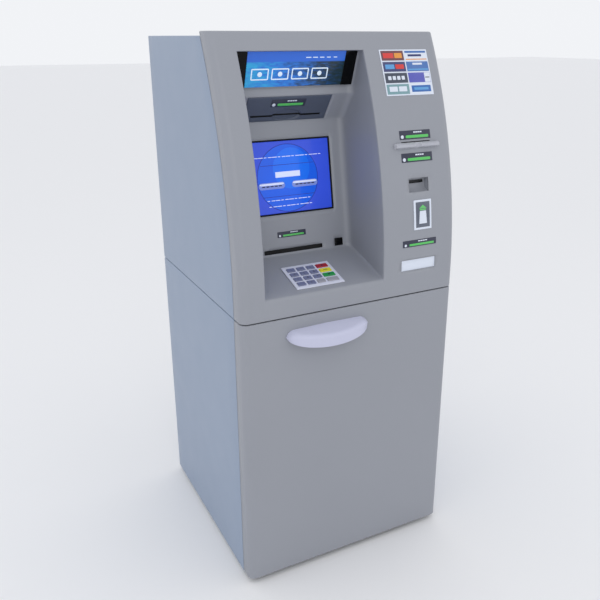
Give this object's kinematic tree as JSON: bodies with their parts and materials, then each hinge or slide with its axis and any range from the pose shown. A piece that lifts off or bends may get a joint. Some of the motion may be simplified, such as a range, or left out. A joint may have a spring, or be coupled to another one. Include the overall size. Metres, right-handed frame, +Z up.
{
  "type": "atm machine",
  "caption": "Free-standing lobby cash machine with a hollow customer recess, sloping keypad shelf, leaning screen, side column of slots, sliding operator panel and a safe behind a lower door.",
  "frame": {"origin": "on the floor, in the middle of the overall width and depth", "axes": "+Z up, +Y from the customer's side to the back, +X to the customer's right"},
  "size_m": [0.64, 0.6956, 1.462],
  "materials": {
    "front_paint": "fine textured satin grey coating",
    "side_paint": "fine textured satin blue-grey coating",
    "safe_steel": "hammered dark grey enamel on thick steel plate",
    "foot_rubber": "matt moulded rubber",
    "bright_steel": "turned and brushed bright steel",
    "zinc_sheet": "zinc plated sheet with faint spangle",
    "unit_casing": "light grey equipment casing",
    "cassette_plastic": "grained dark grey plastic",
    "dark_plastic": "grained black plastic",
    "pull_plastic": "smooth pale violet-grey moulding",
    "sign_surface": "backlit blue printed panel with black ends",
    "document_plastic": "dark slate grained plastic",
    "screen_surface": "lit colour display behind clear glass",
    "key_plate": "satin light metal plate",
    "white_plastic": "smooth white printed plate",
    "paper": "wound white receipt paper",
    "key_red": "satin red key cap",
    "key_yellow": "satin yellow key cap",
    "key_green": "satin green key cap",
    "key_blank": "satin grey key cap",
    "key_slate": "satin slate-blue key cap"
  },
  "bodies": {
    "cabinet": {"lower_housing": "side_paint", "upper_housing": "side_paint", "rear_panel": "side_paint", "safe_body": "safe_steel", "foot_front_left": "foot_rubber", "foot_front_right": "foot_rubber", "foot_rear_left": "foot_rubber", "foot_rear_right": "foot_rubber", "hinge_post_lower": "bright_steel", "hinge_post_upper": "bright_steel", "dispenser_frame": "zinc_sheet", "cash_cassette_1": "cassette_plastic", "cash_cassette_2": "cassette_plastic", "cash_cassette_3": "cassette_plastic", "reject_cassette": "dark_plastic", "note_transport": "unit_casing", "computer_unit": "unit_casing", "fixed_rail_left": "zinc_sheet", "fixed_rail_right": "zinc_sheet"},
    "operator_panel": {"fascia_shell": "front_paint", "recess_liner": "front_paint", "header_panel": "sign_surface", "document_slot_panel": "document_plastic", "statement_printer": "dark_plastic", "screen_glass": "screen_surface", "monitor_housing": "dark_plastic", "keypad_plate": "key_plate", "card_bezel": "front_paint", "card_reader": "dark_plastic", "card_sign": "white_plastic", "receipt_chin": "front_paint", "receipt_printer": "dark_plastic", "reader_window": "white_plastic", "network_sign": "white_plastic", "inner_rail_left": "bright_steel", "inner_rail_right": "bright_steel"},
    "cladding_door": {"lower_door": "front_paint", "door_handle": "pull_plastic"},
    "safe_door_set": {"safe_door": "safe_steel"},
    "dial": {"combination_dial": "bright_steel"},
    "bolt_wheel": {"bolt_handle": "bright_steel"},
    "bolt_bar": {"lock_bolts": "bright_steel"},
    "shutter": {"cash_shutter": "zinc_sheet"},
    "roll": {"paper_roll": "paper"},
    "button_r1_c1": {"key_r1_c1": "key_slate"},
    "button_r1_c2": {"key_r1_c2": "key_slate"},
    "button_r1_c3": {"key_r1_c3": "key_slate"},
    "button_r1_c4": {"key_r1_c4": "key_red"},
    "button_r2_c1": {"key_r2_c1": "key_slate"},
    "button_r2_c2": {"key_r2_c2": "key_slate"},
    "button_r2_c3": {"key_r2_c3": "key_slate"},
    "button_r2_c4": {"key_r2_c4": "key_yellow"},
    "button_r3_c1": {"key_r3_c1": "key_slate"},
    "button_r3_c2": {"key_r3_c2": "key_slate"},
    "button_r3_c3": {"key_r3_c3": "key_slate"},
    "button_r3_c4": {"key_r3_c4": "key_green"},
    "button_r4_c1": {"key_r4_c1": "key_slate"},
    "button_r4_c2": {"key_r4_c2": "key_slate"},
    "button_r4_c3": {"key_r4_c3": "key_slate"},
    "button_r4_c4": {"key_r4_c4": "key_blank"}
  },
  "joints": [
    {"name": "cladding_door_hinge", "type": "hinge", "parent": "cabinet", "child": "cladding_door", "pos_m": [0.3135, -0.2563, 0.4], "axis": [0, 0, 1], "range_deg": [0, 110]},
    {"name": "safe_door_hinge", "type": "hinge", "parent": "cabinet", "child": "safe_door_set", "pos_m": [0.3135, -0.2563, 0.4], "axis": [0, 0, 1], "range_deg": [0, 110]},
    {"name": "dial_spin", "type": "hinge", "parent": "safe_door_set", "child": "dial", "pos_m": [-0.06, -0.2513, 0.52], "axis": [0, -1, 0], "continuous": true},
    {"name": "bolt_wheel_turn", "type": "hinge", "parent": "safe_door_set", "child": "bolt_wheel", "pos_m": [-0.06, -0.2513, 0.38], "axis": [0, -1, 0], "range_deg": [0, 90]},
    {"name": "bolt_throw", "type": "slide", "parent": "safe_door_set", "child": "bolt_bar", "axis": [-1, 0, 0], "range_m": [0, 0.022]},
    {"name": "operator_panel_slide", "type": "slide", "parent": "cabinet", "child": "operator_panel", "axis": [0, -1, 0], "range_m": [0, 0.32]},
    {"name": "cash_shutter_slide", "type": "slide", "parent": "operator_panel", "child": "shutter", "axis": [0, 0.165, 0.9863], "range_m": [0, 0.014]},
    {"name": "paper_roll_spin", "type": "hinge", "parent": "operator_panel", "child": "roll", "pos_m": [0.2035, -0.0828, 1.28], "axis": [1, 0, 0], "continuous": true},
    {"name": "key_r1_c1_press", "type": "slide", "parent": "operator_panel", "child": "button_r1_c1", "axis": [0, 0.2741, -0.9617], "range_m": [0, 0.0018], "stiffness_N_per_m": 400},
    {"name": "key_r1_c2_press", "type": "slide", "parent": "operator_panel", "child": "button_r1_c2", "axis": [0, 0.2741, -0.9617], "range_m": [0, 0.0018], "stiffness_N_per_m": 400},
    {"name": "key_r1_c3_press", "type": "slide", "parent": "operator_panel", "child": "button_r1_c3", "axis": [0, 0.2741, -0.9617], "range_m": [0, 0.0018], "stiffness_N_per_m": 400},
    {"name": "key_r1_c4_press", "type": "slide", "parent": "operator_panel", "child": "button_r1_c4", "axis": [0, 0.2741, -0.9617], "range_m": [0, 0.0018], "stiffness_N_per_m": 400},
    {"name": "key_r2_c1_press", "type": "slide", "parent": "operator_panel", "child": "button_r2_c1", "axis": [0, 0.2741, -0.9617], "range_m": [0, 0.0018], "stiffness_N_per_m": 400},
    {"name": "key_r2_c2_press", "type": "slide", "parent": "operator_panel", "child": "button_r2_c2", "axis": [0, 0.2741, -0.9617], "range_m": [0, 0.0018], "stiffness_N_per_m": 400},
    {"name": "key_r2_c3_press", "type": "slide", "parent": "operator_panel", "child": "button_r2_c3", "axis": [0, 0.2741, -0.9617], "range_m": [0, 0.0018], "stiffness_N_per_m": 400},
    {"name": "key_r2_c4_press", "type": "slide", "parent": "operator_panel", "child": "button_r2_c4", "axis": [0, 0.2741, -0.9617], "range_m": [0, 0.0018], "stiffness_N_per_m": 400},
    {"name": "key_r3_c1_press", "type": "slide", "parent": "operator_panel", "child": "button_r3_c1", "axis": [0, 0.2741, -0.9617], "range_m": [0, 0.0018], "stiffness_N_per_m": 400},
    {"name": "key_r3_c2_press", "type": "slide", "parent": "operator_panel", "child": "button_r3_c2", "axis": [0, 0.2741, -0.9617], "range_m": [0, 0.0018], "stiffness_N_per_m": 400},
    {"name": "key_r3_c3_press", "type": "slide", "parent": "operator_panel", "child": "button_r3_c3", "axis": [0, 0.2741, -0.9617], "range_m": [0, 0.0018], "stiffness_N_per_m": 400},
    {"name": "key_r3_c4_press", "type": "slide", "parent": "operator_panel", "child": "button_r3_c4", "axis": [0, 0.2741, -0.9617], "range_m": [0, 0.0018], "stiffness_N_per_m": 400},
    {"name": "key_r4_c1_press", "type": "slide", "parent": "operator_panel", "child": "button_r4_c1", "axis": [0, 0.2741, -0.9617], "range_m": [0, 0.0018], "stiffness_N_per_m": 400},
    {"name": "key_r4_c2_press", "type": "slide", "parent": "operator_panel", "child": "button_r4_c2", "axis": [0, 0.2741, -0.9617], "range_m": [0, 0.0018], "stiffness_N_per_m": 400},
    {"name": "key_r4_c3_press", "type": "slide", "parent": "operator_panel", "child": "button_r4_c3", "axis": [0, 0.2741, -0.9617], "range_m": [0, 0.0018], "stiffness_N_per_m": 400},
    {"name": "key_r4_c4_press", "type": "slide", "parent": "operator_panel", "child": "button_r4_c4", "axis": [0, 0.2741, -0.9617], "range_m": [0, 0.0018], "stiffness_N_per_m": 400}
  ],
  "couplings": [
    {"joint": "safe_door_hinge", "follows": "cladding_door_hinge", "ratio": 1},
    {"joint": "bolt_throw", "follows": "bolt_wheel_turn", "m_per_rad": 0.014}
  ]
}
